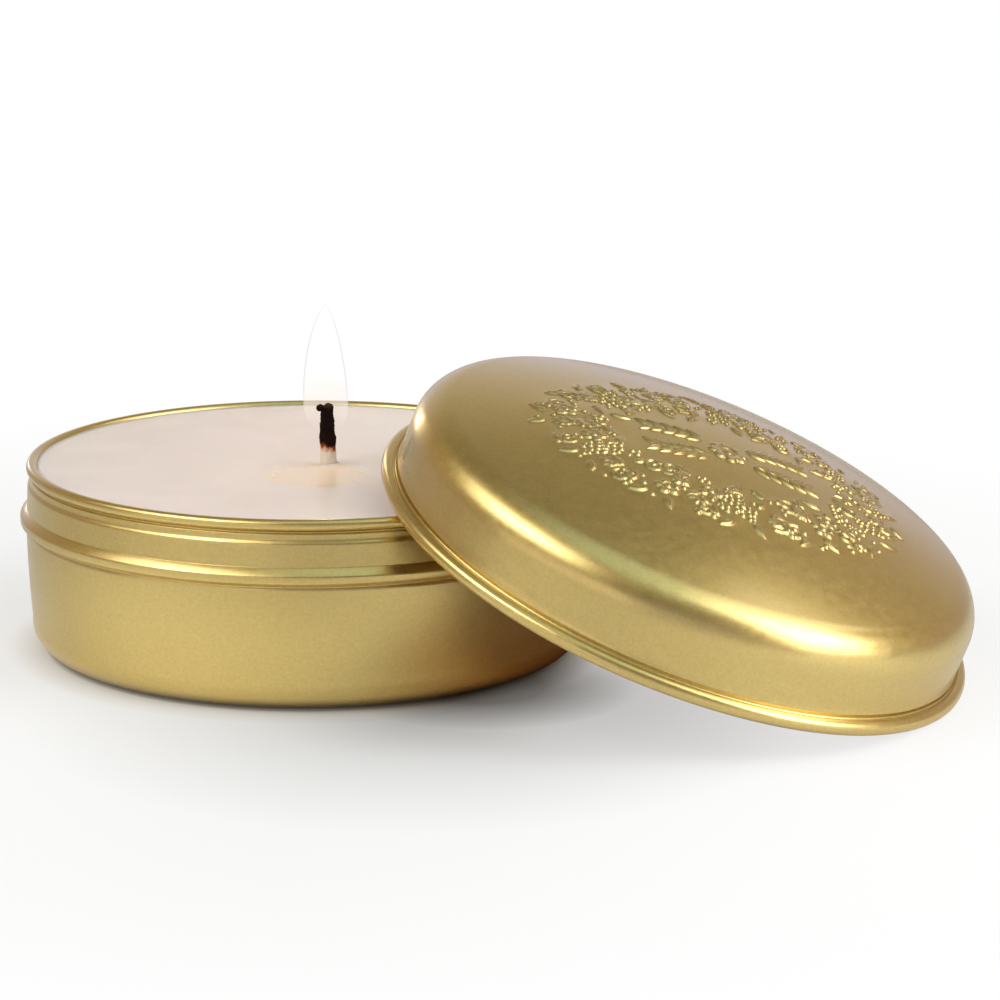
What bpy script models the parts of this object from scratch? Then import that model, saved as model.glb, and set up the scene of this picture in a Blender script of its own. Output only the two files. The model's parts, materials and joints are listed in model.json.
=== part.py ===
"""Round slip-lid candle tin: a drawn can full of wax, a wick on its metal holder, and a domed lid
leaning on the can's rim.

The origin is the centre of the can's underside, on the table. +Z is up, and +X points to the side that
the lid leans on. A turned piece is an outline of (radius, height) points, swept round its own Z axis by a
Screw modifier. Its outline runs up the inside, over the top and down the outside.
"""

from math import atan2, cos, degrees, pi, radians, sin, sqrt

import bpy
from mathutils import Matrix

MM = 0.001
SWEEP_STEPS = 48
CURL_SEGMENTS = 12
CORNER_SEGMENTS = 6
DOME_SEGMENTS = 5
INNER_SEGMENTS = 4
MERGE_DISTANCE = 0.00001
EMPTY_SIZE = 10.0 * MM

SHEET = 0.4 * MM
FIT_GAP = 0.3 * MM

# Can
CAN_HEIGHT = 26.9 * MM
RIM_RADIUS = 40.0 * MM
RIM_CURL_RADIUS = 0.8 * MM
RIM_CURL_ARC = (240.0, -50.0)
NECK_RADIUS = 39.75 * MM
NECK_TOP_DEPTH = 1.76 * MM
NECK_DEPTH = 3.3 * MM
FLARE_RADIUS = 40.4 * MM
FLARE_DEPTH = 6.3 * MM
STEP_DEPTH = 6.6 * MM
BEAD_RADIUS = 40.95 * MM
BEAD_DEPTH = 7.9 * MM
BEAD_END_DEPTH = 8.9 * MM
WALL_RADIUS = 40.1 * MM
FOOT_RADIUS = 39.5 * MM
CORNER_RADIUS = 4.2 * MM
RING_WIDTH = 4.0 * MM
PANEL_RISE = 0.6 * MM

# Wax, wick and what holds the wick
WAX_DEPTH = 0.8 * MM
WICK_RADIUS = 1.15 * MM
WICK_STAND = 9.0 * MM
WICK_LEAN = 0.8 * MM
WICK_MIDDLE_LEAN = 0.3 * MM
WICK_PLACE = (3.0 * MM, -2.4 * MM, 0.0)
PAD_RADIUS = 6.0 * MM
PAD_THICKNESS = 0.6 * MM
TAB_RADIUS = 7.5 * MM
COLLAR_HEIGHT = 6.0 * MM
LABEL_RADIUS = 29.5 * MM
LABEL_THICKNESS = 0.3 * MM

# Lid
LID_CURL_OUTER_RADIUS = 42.85 * MM
LID_CURL_RADIUS = 1.05 * MM
LID_CURL_ARC = (144.0, -150.0)
LID_FOOT_HEIGHT = 0.84 * MM
SKIRT_RADIUS = 40.95 * MM
SKIRT_HEIGHT = 7.9 * MM
SHOULDER_RADIUS = 5.9 * MM
DOME_RADIUS = 120.0 * MM

# The lid leans over the can's rim, with its low edge on the table.
LEAN_ANGLE = radians(22.1)
LEAN_HEADING = radians(-26.2)
LEAN_DISTANCE = 55.8 * MM

RIM_CURL_CENTRE = (RIM_RADIUS - RIM_CURL_RADIUS, CAN_HEIGHT - RIM_CURL_RADIUS)
RING_OUTER_RADIUS = FOOT_RADIUS - CORNER_RADIUS
RING_INNER_RADIUS = RING_OUTER_RADIUS - RING_WIDTH
PANEL_RADIUS = RING_INNER_RADIUS - PANEL_RISE
PANEL_FLOOR = PANEL_RISE + SHEET
PAD_BOTTOM = PANEL_FLOOR + FIT_GAP
TAB_BOTTOM = PAD_BOTTOM + PAD_THICKNESS + FIT_GAP
COLLAR_INNER_RADIUS = WICK_RADIUS + FIT_GAP
COLLAR_OUTER_RADIUS = COLLAR_INNER_RADIUS + SHEET
WAX_LEVEL = CAN_HEIGHT - WAX_DEPTH
CUTTER_TOP = CAN_HEIGHT


def clear_scene():
    for obj in list(bpy.data.objects):
        bpy.data.objects.remove(obj)


def make_material(name, colour, roughness, metallic):
    material = bpy.data.materials.new(name)
    material.use_nodes = True
    shader = material.node_tree.nodes["Principled BSDF"]
    shader.inputs["Base Color"].default_value = (*colour, 1.0)
    shader.inputs["Roughness"].default_value = roughness
    shader.inputs["Metallic"].default_value = metallic
    return material


def arc(centre, radius, start, end, segments):
    """Points on an arc about centre, from start to end in degrees. 0 points outwards, and 90 points up."""
    points = []
    for step in range(segments + 1):
        angle = radians(start + (end - start) * step / segments)
        points.append((centre[0] + radius * cos(angle), centre[1] + radius * sin(angle)))
    return points


def moved_in(points, distance):
    """The same outline, nearer the axis by distance."""
    return [(radius - distance, height) for radius, height in points]


def turned_piece(name, outline, material, closed=False):
    """A solid of revolution. An open outline starts and ends on the axis, and a closed one makes a ring."""
    edges = [(index, index + 1) for index in range(len(outline) - 1)]
    if closed:
        edges.append((len(outline) - 1, 0))
    mesh = bpy.data.meshes.new(name)
    mesh.from_pydata([(radius, 0.0, height) for radius, height in outline], edges, [])
    mesh.materials.append(material)
    piece = bpy.data.objects.new(name, mesh)
    bpy.context.scene.collection.objects.link(piece)
    screw = piece.modifiers.new("Sweep", "SCREW")
    screw.axis = "Z"
    screw.angle = 2.0 * pi
    screw.steps = SWEEP_STEPS
    screw.render_steps = SWEEP_STEPS
    screw.use_smooth_shade = True
    screw.use_merge_vertices = True
    screw.merge_threshold = MERGE_DISTANCE
    return piece


def can_wall():
    """The outside of the can's side, from under the rim curl down to the rounded foot."""
    return [
        (NECK_RADIUS, CAN_HEIGHT - NECK_TOP_DEPTH),
        (NECK_RADIUS, CAN_HEIGHT - NECK_DEPTH),
        (FLARE_RADIUS, CAN_HEIGHT - FLARE_DEPTH),
        ((FLARE_RADIUS + BEAD_RADIUS) / 2, CAN_HEIGHT - STEP_DEPTH),
        (BEAD_RADIUS, CAN_HEIGHT - BEAD_DEPTH),
        (WALL_RADIUS, CAN_HEIGHT - BEAD_END_DEPTH),
    ]


def foot_arc(offset, segments):
    """The rounded foot, from the wall round to the resting ring, moved into the sheet by offset."""
    return arc((RING_OUTER_RADIUS, CORNER_RADIUS), CORNER_RADIUS - offset, 0, -90, segments)


def base_can():
    inside = [(0.0, PANEL_FLOOR), (PANEL_RADIUS, PANEL_FLOOR), (RING_INNER_RADIUS, SHEET)]
    inside += reversed(foot_arc(SHEET, INNER_SEGMENTS))
    inside += moved_in(reversed(can_wall()), SHEET)
    curl = arc(RIM_CURL_CENTRE, RIM_CURL_RADIUS, *RIM_CURL_ARC, CURL_SEGMENTS)
    outside = can_wall() + foot_arc(0.0, CORNER_SEGMENTS)
    underside = [(RING_INNER_RADIUS, 0.0), (PANEL_RADIUS, PANEL_RISE), (0.0, PANEL_RISE)]
    gold = make_material("can_lacquered_aluminium", (0.62, 0.47, 0.20), 0.32, 1.0)
    return turned_piece("base_can", inside + curl + outside + underside, gold)


def holder_cutter():
    """The room that the pad, the tab, its collar and the wick take out of the wax, and a gap round them."""
    pocket_top = TAB_BOTTOM + SHEET + FIT_GAP
    collar_top = TAB_BOTTOM + COLLAR_HEIGHT + FIT_GAP
    outline = [
        (0.0, CUTTER_TOP),
        (WICK_RADIUS + FIT_GAP, CUTTER_TOP),
        (WICK_RADIUS + FIT_GAP, collar_top),
        (COLLAR_OUTER_RADIUS + FIT_GAP, collar_top),
        (COLLAR_OUTER_RADIUS + FIT_GAP, pocket_top),
        (TAB_RADIUS + FIT_GAP, pocket_top),
        (TAB_RADIUS + FIT_GAP, 0.0),
        (0.0, 0.0),
    ]
    cutter = turned_piece("holder_cutter", outline, make_material("cutter", (0.5, 0.5, 0.5), 0.5, 0.0))
    cutter.location = WICK_PLACE
    cutter.hide_render = True
    cutter.display_type = "WIRE"
    return cutter


def wax_fill():
    """The wax, whose top is level with the middle of the rim's curl and fits round the curl's inner side."""
    gap = SHEET + FIT_GAP
    bottom = PANEL_FLOOR + FIT_GAP
    round_curl = arc(RIM_CURL_CENTRE, RIM_CURL_RADIUS + FIT_GAP, 180, 262, INNER_SEGMENTS)
    outline = [(0.0, WAX_LEVEL)] + round_curl + moved_in(can_wall()[1:], gap)
    outline += foot_arc(gap, INNER_SEGMENTS)
    outline += [(RING_INNER_RADIUS, gap), (PANEL_RADIUS, bottom), (0.0, bottom)]
    wax = turned_piece("wax_fill", outline, make_material("candle_wax", (0.86, 0.74, 0.66), 0.45, 0.0))
    pocket = wax.modifiers.new("Holder pocket", "BOOLEAN")
    pocket.operation = "DIFFERENCE"
    pocket.solver = "EXACT"
    pocket.object = holder_cutter()
    return wax


def wick():
    """A round cord, upright in the wax, whose free end leans a little."""
    curve = bpy.data.curves.new("wick", "CURVE")
    curve.dimensions = "3D"
    curve.bevel_depth = WICK_RADIUS
    curve.bevel_resolution = 2
    curve.use_fill_caps = True
    heights = (TAB_BOTTOM, WAX_LEVEL, WAX_LEVEL + WICK_STAND / 2, WAX_LEVEL + WICK_STAND)
    leans = (0.0, 0.0, WICK_MIDDLE_LEAN, WICK_LEAN)
    line = curve.splines.new("POLY")
    line.points.add(len(heights) - 1)
    for point, height, lean in zip(line.points, heights, leans):
        point.co = (-lean, 0.0, height, 1.0)
    cord = bpy.data.objects.new("wick", curve)
    bpy.context.scene.collection.objects.link(cord)
    cord.location = WICK_PLACE
    curve.materials.append(make_material("charred_cotton", (0.05, 0.03, 0.03), 0.9, 0.0))
    return cord


def wick_sustainer():
    """A pressed disc with an upright collar round the wick."""
    top = TAB_BOTTOM + SHEET
    outline = [
        (COLLAR_INNER_RADIUS, TAB_BOTTOM),
        (COLLAR_INNER_RADIUS, TAB_BOTTOM + COLLAR_HEIGHT),
        (COLLAR_OUTER_RADIUS, TAB_BOTTOM + COLLAR_HEIGHT),
        (COLLAR_OUTER_RADIUS, top),
        (TAB_RADIUS, top),
        (TAB_RADIUS, TAB_BOTTOM),
    ]
    steel = make_material("tinned_steel", (0.60, 0.60, 0.62), 0.35, 1.0)
    tab = turned_piece("wick_sustainer", outline, steel, closed=True)
    tab.location = WICK_PLACE
    return tab


def disc(name, radius, bottom, thickness, material):
    outline = [(0.0, bottom + thickness), (radius, bottom + thickness), (radius, bottom), (0.0, bottom)]
    return turned_piece(name, outline, material)


def lid_pose():
    """The lid's own frame: origin at the centre of its open edge, +Z out of the dome."""
    curl_centre_radius = LID_CURL_OUTER_RADIUS - LID_CURL_RADIUS
    turn = Matrix.Rotation(LEAN_HEADING, 4, "Z") @ Matrix.Rotation(LEAN_ANGLE, 4, "Y")
    height = curl_centre_radius * sin(LEAN_ANGLE) + LID_CURL_RADIUS
    centre = (LEAN_DISTANCE * cos(LEAN_HEADING), LEAN_DISTANCE * sin(LEAN_HEADING), height)
    return Matrix.Translation(centre) @ turn @ Matrix.Translation((0.0, 0.0, -LID_CURL_RADIUS))


def tip_axis_empty():
    """An empty whose Y is the line that the lid tips about: level, through the middle of its curl where the
    curl meets the table, so that the curl stays on the table at every angle."""
    reach = LEAN_DISTANCE + (LID_CURL_OUTER_RADIUS - LID_CURL_RADIUS) * cos(LEAN_ANGLE)
    empty = bpy.data.objects.new("lid_tip_axis", None)
    empty.empty_display_size = EMPTY_SIZE
    place = Matrix.Translation((reach * cos(LEAN_HEADING), reach * sin(LEAN_HEADING), LID_CURL_RADIUS))
    empty.matrix_world = place @ Matrix.Rotation(LEAN_HEADING, 4, "Z")
    bpy.context.scene.collection.objects.link(empty)
    return empty


def lid_shell():
    shoulder_centre = (SKIRT_RADIUS - SHOULDER_RADIUS, SKIRT_HEIGHT)
    dome_drop = sqrt((DOME_RADIUS - SHOULDER_RADIUS) ** 2 - shoulder_centre[0] ** 2)
    dome_centre = (0.0, SKIRT_HEIGHT - dome_drop)
    meeting_angle = degrees(atan2(dome_drop, shoulder_centre[0]))
    curl_centre = (LID_CURL_OUTER_RADIUS - LID_CURL_RADIUS, LID_CURL_RADIUS)

    dome = arc(dome_centre, DOME_RADIUS, 90, meeting_angle, DOME_SEGMENTS)
    shoulder = arc(shoulder_centre, SHOULDER_RADIUS, meeting_angle, 0, CORNER_SEGMENTS)
    curl = arc(curl_centre, LID_CURL_RADIUS, *LID_CURL_ARC, CURL_SEGMENTS)
    inner_foot = (SKIRT_RADIUS - SHEET, LID_FOOT_HEIGHT)
    inner_shoulder = arc(shoulder_centre, SHOULDER_RADIUS - SHEET, 0, meeting_angle, INNER_SEGMENTS)
    inner_dome = arc(dome_centre, DOME_RADIUS - SHEET, meeting_angle, 90, INNER_SEGMENTS)
    outline = dome + shoulder[1:] + curl + [inner_foot] + inner_shoulder + inner_dome[1:]
    outline[0] = (0.0, outline[0][1])
    outline[-1] = (0.0, outline[-1][1])

    gold = make_material("lid_lacquered_aluminium", (0.62, 0.47, 0.20), 0.30, 1.0)
    lid = turned_piece("lid_shell", outline, gold)
    axis = tip_axis_empty()
    bpy.context.view_layer.update()
    lid.parent = axis
    lid.matrix_parent_inverse = axis.matrix_world.inverted()
    lid.matrix_basis = lid_pose()
    return lid


def main():
    clear_scene()
    base_can()
    wax_fill()
    wick()
    wick_sustainer()
    foam = make_material("white_foam", (0.85, 0.85, 0.83), 0.8, 0.0)
    pad = disc("adhesive_pad", PAD_RADIUS, PAD_BOTTOM, PAD_THICKNESS, foam)
    pad.location = WICK_PLACE
    paper = make_material("blank_paper", (0.90, 0.88, 0.84), 0.7, 0.0)
    disc("base_label", LABEL_RADIUS, 0.0, LABEL_THICKNESS, paper)
    lid_shell()


main()
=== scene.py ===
"""Looks for the slip-lid candle tin: fine turned metal with a pressed wreath, wax, a burnt wick and a flame.

Lengths in the profiles are in millimetres and become metres when a mesh is made. The can's own frame is the
row frame: its axis is +Z and its foot stands at height 0. The lid's own frame has its origin at the centre
of its open edge, +Z out of the dome and +X towards its low edge.
"""

import json
import math
import random

import bpy
import numpy as np
from mathutils import Euler, Matrix, Vector, noise


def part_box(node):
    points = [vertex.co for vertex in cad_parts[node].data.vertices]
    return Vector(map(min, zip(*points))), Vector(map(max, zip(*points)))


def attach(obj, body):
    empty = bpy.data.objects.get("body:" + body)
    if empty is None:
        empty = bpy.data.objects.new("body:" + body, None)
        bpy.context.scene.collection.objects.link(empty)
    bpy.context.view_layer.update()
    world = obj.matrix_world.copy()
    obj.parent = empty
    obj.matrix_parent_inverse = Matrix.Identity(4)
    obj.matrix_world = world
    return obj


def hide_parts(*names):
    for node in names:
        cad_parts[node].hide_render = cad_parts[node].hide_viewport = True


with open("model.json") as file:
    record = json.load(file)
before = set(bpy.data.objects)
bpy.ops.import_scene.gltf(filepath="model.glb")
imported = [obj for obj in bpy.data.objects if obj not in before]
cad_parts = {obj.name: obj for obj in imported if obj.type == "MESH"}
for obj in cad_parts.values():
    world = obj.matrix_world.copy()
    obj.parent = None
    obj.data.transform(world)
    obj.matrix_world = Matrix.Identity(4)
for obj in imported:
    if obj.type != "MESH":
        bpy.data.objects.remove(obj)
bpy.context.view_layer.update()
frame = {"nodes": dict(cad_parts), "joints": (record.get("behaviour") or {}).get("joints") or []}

MM = 0.001

# Sizes that the frame gives.
CAN_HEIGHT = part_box("base_can")[1].z / MM
BEAD_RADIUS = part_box("base_can")[1].x / MM
LABEL_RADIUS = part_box("base_label")[1].x / MM
LABEL_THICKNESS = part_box("base_label")[1].z / MM
TAB_LOW, TAB_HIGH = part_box("wick_sustainer")
PAD_LOW, PAD_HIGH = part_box("adhesive_pad")
WICK_AXIS = ((TAB_LOW + TAB_HIGH) / 2 / MM).to_2d()
WICK_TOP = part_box("wick")[1].z / MM
WAX_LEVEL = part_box("wax_fill")[1].z / MM
TIP_JOINT = frame["joints"][0]

# The can's turned profile and the place of its axis, in mm.
RIM_RADIUS = 40.0
RIM_CURL = 0.8
WALL_RADIUS = 40.1
FOOT_RADIUS = 39.5
CORNER_RADIUS = 4.2
SHEET = 0.4
RING_WIDTH = 4.0
PANEL_RISE = 0.6
CAN_AXIS = (0.0, 0.0)

# The lid's turned profile, in mm.
LID_CURL = 1.05
LID_CURL_OUTER = 42.85
SKIRT_RADIUS = 40.95
SKIRT_HEIGHT = 7.9
SHOULDER_RADIUS = 5.9
DOME_RADIUS = 120.0

# The wax, in mm: its edge climbs the inner side of the rim's curl, and a melt pool lies by the wick.
WAX_CLIMB = 0.30
WICK_CLIMB = 0.55
WAX_EDGE = 38.4
POOL_CENTRE = (WICK_AXIS.x - 1.9, WICK_AXIS.y - 6.6)
POOL_RADII = (8.3, 8.7)
POOL_DIP = 0.10

# The gap kept round the wick and its holder, in mm.
FIT = 0.3

# The wick and the flame, in mm. The wick's head is the height where its cord ends, among its knobs of char.
WICK_RADIUS = 1.15
WICK_HEAD = WICK_TOP - 0.6
FLAME_TOP = 49.2
FLAME_RADIUS = 3.15

# The camera: its place in metres, its turns in radians and its lens in mm.
CAMERA_PLACE = Vector((0.0, -0.5563, 0.14925))
CAMERA_PITCH = -0.2287
CAMERA_YAW = -0.0488
CAMERA_ROLL = -0.0058
CAMERA_LENS = 144.14
CAMERA_SHIFT_Y = 0.005


# ---------------------------------------------------------------- mesh tools


def arc(centre, radius, start, end, segments):
    """Points on an arc about centre, from start to end in degrees. 0 points outwards, and 90 points up."""
    angles = np.radians(np.linspace(start, end, segments + 1))
    return [(centre[0] + radius * math.cos(a), centre[1] + radius * math.sin(a)) for a in angles]


def smooth_step(value, low, high):
    """0 below low, 1 above high, and a smooth rise between them."""
    t = np.clip((value - low) / (high - low), 0.0, 1.0)
    return t * t * (3.0 - 2.0 * t)


def ring(radius, height, count, centre=(0.0, 0.0)):
    """One level ring of points, in mm. A ring of one point is a pole."""
    if count == 1:
        return np.array([[centre[0], centre[1], height]])
    angles = np.arange(count) * (2.0 * math.pi / count)
    x = centre[0] + radius * np.cos(angles)
    y = centre[1] + radius * np.sin(angles)
    return np.stack([x, y, np.full(count, float(height))], axis=1)


def bridge(first, first_count, second, second_count):
    """Faces between two rings, given each ring's first index. Their counts are equal, or one is double the
    other, or one is a pole."""
    faces = []
    for j in range(max(first_count, second_count)):
        if first_count == second_count:
            k = (j + 1) % first_count
            faces.append((first + j, second + j, second + k, first + k))
        elif first_count == 1:
            faces.append((first, second + j, second + (j + 1) % second_count))
        elif second_count == 1:
            faces.append((first + j, second, first + (j + 1) % first_count))
        elif j % 2 == 0 and second_count == 2 * first_count:
            a, b = first + j // 2, first + (j // 2 + 1) % first_count
            c = second + (j + 2) % second_count
            faces += [(a, second + j, second + j + 1), (a, second + j + 1, b), (b, second + j + 1, c)]
        elif j % 2 == 0 and first_count == 2 * second_count:
            a, b = second + j // 2, second + (j // 2 + 1) % second_count
            c = first + (j + 2) % first_count
            faces += [(first + j, a, first + j + 1), (first + j + 1, a, b), (first + j + 1, b, c)]
    return faces


def mesh_from_rings(name, rings, closed=False):
    """A smooth mesh through a chain of rings in mm. The chain runs up the inside, over the top and down the
    outside. A closed chain also joins its last ring to its first."""
    starts = np.cumsum([0] + [len(points) for points in rings])
    faces = []
    pairs = [(i, i + 1) for i in range(len(rings) - 1)] + ([(len(rings) - 1, 0)] if closed else [])
    for i, j in pairs:
        faces += bridge(int(starts[i]), len(rings[i]), int(starts[j]), len(rings[j]))
    mesh = bpy.data.meshes.new(name)
    mesh.from_pydata((np.concatenate(rings) * MM).tolist(), [], faces)
    mesh.shade_smooth()
    piece = bpy.data.objects.new(name, mesh)
    bpy.context.scene.collection.objects.link(piece)
    return piece


def turned(name, outline, count, centre=(0.0, 0.0), closed=False):
    """A turned piece from an outline of (radius, height) in mm. A point on the axis becomes a pole."""
    rings = [ring(r, z, 1 if r < 1e-6 else count, centre) for r, z in outline]
    return mesh_from_rings(name, rings, closed)


def finish_piece(piece, body, node, material):
    """Gives a piece its material, and hands it to the frame in place of a CAD node."""
    piece.data.materials.append(material)
    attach(piece, body)
    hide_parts(node)


# ---------------------------------------------------------------- materials


def new_material(name):
    """A new material, its node tree and its shader."""
    material = bpy.data.materials.new(name)
    material.use_nodes = True
    tree = material.node_tree
    return material, tree, tree.nodes["Principled BSDF"]


def add_node(tree, kind, **inputs):
    """Adds a node and sets its inputs by name, such as Scale=5."""
    node = tree.nodes.new(kind)
    for key, value in inputs.items():
        node.inputs[key].default_value = value
    return node


def noise_node(tree, scale, detail=3.0, roughness=0.5, distortion=0.0):
    """Noise in the object's own coordinates. Scale is in features per metre."""
    settings = {"Scale": scale, "Detail": detail, "Roughness": roughness, "Distortion": distortion}
    texture = add_node(tree, "ShaderNodeTexNoise", **settings)
    tree.links.new(place_node(tree), texture.inputs["Vector"])
    return texture.outputs["Fac"]


def set_or_link(tree, socket, value):
    """Sets a socket to a plain value, or links another node's output to it."""
    if isinstance(value, bpy.types.NodeSocket):
        tree.links.new(value, socket)
    else:
        socket.default_value = value


def math_node(tree, operation, *values):
    """A number worked out from values, which are plain numbers or sockets."""
    node = tree.nodes.new("ShaderNodeMath")
    node.operation = operation
    for socket, value in zip(node.inputs, values):
        set_or_link(tree, socket, value)
    return node.outputs["Value"]


def vector_node(tree, operation, *values):
    """The node that works on vectors, which are plain vectors or sockets."""
    node = tree.nodes.new("ShaderNodeVectorMath")
    node.operation = operation
    for socket, value in zip(node.inputs, values):
        set_or_link(tree, socket, value)
    return node


def place_node(tree, kind="Object"):
    """Places in the object's own coordinates, in metres, or another kind of texture coordinate."""
    return tree.nodes.new("ShaderNodeTexCoord").outputs[kind]


def axes_node(tree, kind="Object"):
    """The outputs X, Y and Z of a place."""
    split = tree.nodes.new("ShaderNodeSeparateXYZ")
    tree.links.new(place_node(tree, kind), split.inputs["Vector"])
    return split.outputs


def ramp_node(tree, source, stops):
    """A colour ramp over source. Stops are (position, (r, g, b))."""
    ramp = tree.nodes.new("ShaderNodeValToRGB")
    elements = ramp.color_ramp.elements
    while len(elements) < len(stops):
        elements.new(0.5)
    for element, (position, colour) in zip(elements, stops):
        element.position = position
        element.color = (*colour, 1.0)
    tree.links.new(source, ramp.inputs["Fac"])
    return ramp.outputs["Color"]


def grey_stops(*stops):
    """Colour stops from (position, brightness) pairs."""
    return [(position, (value, value, value)) for position, value in stops]


def range_node(tree, source, low, high, from_low=0.0, from_high=1.0):
    """Maps source from its range to low..high."""
    node = tree.nodes.new("ShaderNodeMapRange")
    node.inputs["From Min"].default_value = from_low
    node.inputs["From Max"].default_value = from_high
    node.inputs["To Min"].default_value = low
    node.inputs["To Max"].default_value = high
    tree.links.new(source, node.inputs["Value"])
    return node.outputs["Result"]


def mix_colour(tree, factor, first, second, blend="MIX"):
    """A colour between first and second, each of which is a plain colour or a socket."""
    node = tree.nodes.new("ShaderNodeMix")
    node.data_type = "RGBA"
    node.blend_type = blend
    for name, value in (("Factor", factor), ("A", first), ("B", second)):
        set_or_link(tree, node.inputs[name], value)
    return node.outputs["Result"]


def mix_shaders(tree, factor, first, second, output):
    """Sends a mix of two shaders to an output node."""
    mix = tree.nodes.new("ShaderNodeMixShader")
    for index, source in enumerate((factor, first, second)):
        tree.links.new(source, mix.inputs[index])
    tree.links.new(mix.outputs["Shader"], output.inputs["Surface"])


def bump(tree, shader, height, strength, distance, below=None):
    """Feeds height to the shader's normal. Distance is in metres."""
    node = add_node(tree, "ShaderNodeBump", Strength=strength, Distance=distance)
    tree.links.new(height, node.inputs["Height"])
    if below is not None:
        tree.links.new(below, node.inputs["Normal"])
    tree.links.new(node.outputs["Normal"], shader.inputs["Normal"])
    return node.outputs["Normal"]


def stretched_noise(tree, scale, stretch, detail):
    """Noise whose features are finer along the axes with the larger stretch."""
    scaling = vector_node(tree, "MULTIPLY", place_node(tree), stretch)
    texture = add_node(tree, "ShaderNodeTexNoise", Scale=scale, Detail=detail, Roughness=0.6)
    tree.links.new(scaling.outputs["Vector"], texture.inputs["Vector"])
    return texture.outputs["Fac"]


def gold_lacquer(name, stretch):
    """Satin gold lacquer on drawn aluminium: a fine grain, slight clouding and a thin clear coat. The coat
    lies thicker on the pressed ornament, where the mesh's relief attribute, in mm, is high."""
    material, tree, shader = new_material(name)
    clouds = noise_node(tree, 38.0, detail=3.0)
    grain = stretched_noise(tree, 700.0, stretch, 4.0)
    cloudy = ramp_node(tree, clouds, [(0.3, (0.66, 0.495, 0.175)), (0.7, (0.70, 0.535, 0.20))])
    streaked = ramp_node(tree, grain, [(0.25, (0.94, 0.94, 0.93)), (0.75, (1.0, 1.0, 1.0))])
    sand = noise_node(tree, 2300.0, detail=2.0, roughness=0.6)
    sanded = ramp_node(tree, sand, [(0.3, (0.90, 0.89, 0.87)), (0.7, (1.0, 1.0, 1.0))])
    lacquer = mix_colour(tree, 1.0, cloudy, streaked, "MULTIPLY")
    lacquer = mix_colour(tree, 1.0, lacquer, sanded, "MULTIPLY")
    tree.links.new(lacquer, shader.inputs["Base Color"])
    shader.inputs["Metallic"].default_value = 1.0
    tree.links.new(range_node(tree, grain, 0.28, 0.34, 0.3, 0.7), shader.inputs["Roughness"])
    raised = add_node(tree, "ShaderNodeAttribute")
    raised.attribute_name = "relief"
    coat = range_node(tree, raised.outputs["Fac"], 0.45, 0.95, 0.05, 0.20)
    tree.links.new(coat, shader.inputs["Coat Weight"])
    shader.inputs["Coat Roughness"].default_value = 0.14
    fine_grain = noise_node(tree, 4200.0, detail=2.0, roughness=0.6)
    first = bump(tree, shader, grain, 0.25, 0.00002)
    bump(tree, shader, fine_grain, 0.20, 0.00002, below=first)
    return material


def candle_wax():
    """Poured wax: soft light inside, faint pink clouds, painted shade that makes it darker and pinker towards
    -X, and a yellower, glossier pool.
    """
    material, tree, shader = new_material("candle_wax")
    clouds = noise_node(tree, 70.0, detail=3.0, distortion=0.4)
    body = ramp_node(tree, clouds, [(0.35, (0.79, 0.715, 0.68)), (0.65, (0.83, 0.765, 0.725))])
    # Painted shade: the wax is darkened and made pinker towards -X.
    across = range_node(tree, axes_node(tree)["X"], 0.0, 1.0, -0.036, 0.030)
    side_shade_stops = [(0.0, (0.87, 0.83, 0.81)), (0.5, (0.955, 0.885, 0.86)), (1.0, (1.0, 1.0, 1.0))]
    tint = ramp_node(tree, across, side_shade_stops)
    body = mix_colour(tree, 1.0, body, tint, "MULTIPLY")
    pool = pool_mask(tree)
    colour = mix_colour(tree, pool, body, (0.84, 0.655, 0.48, 1.0))
    tree.links.new(colour, shader.inputs["Base Color"])
    tree.links.new(range_node(tree, pool, 0.42, 0.22), shader.inputs["Roughness"])
    shader.inputs["Subsurface Weight"].default_value = 0.5
    shader.inputs["Subsurface Radius"].default_value = (1.0, 0.55, 0.35)
    shader.inputs["Subsurface Scale"].default_value = 3.0 * MM
    shader.inputs["Coat Weight"].default_value = 0.08
    shader.inputs["Coat Roughness"].default_value = 0.15
    bump(tree, shader, noise_node(tree, 900.0, detail=4.0), 0.08, 0.00006)
    return material


def pool_mask(tree):
    """Near 1 inside the melt pool and 0 outside, with a soft, uneven edge."""
    depth = 6.0 * MM
    centre = (POOL_CENTRE[0] * MM, POOL_CENTRE[1] * MM, WAX_LEVEL * MM)
    offset = vector_node(tree, "SUBTRACT", place_node(tree), centre).outputs["Vector"]
    radii = (POOL_RADII[0] * MM, POOL_RADII[1] * MM, depth)
    shares = vector_node(tree, "DIVIDE", offset, radii).outputs["Vector"]
    reach = vector_node(tree, "LENGTH", shares).outputs["Value"]
    wobble = range_node(tree, noise_node(tree, 260.0, detail=2.0), -0.28, 0.28)
    return range_node(tree, math_node(tree, "ADD", reach, wobble), 0.9, 0.0, 0.70, 1.02)


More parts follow.
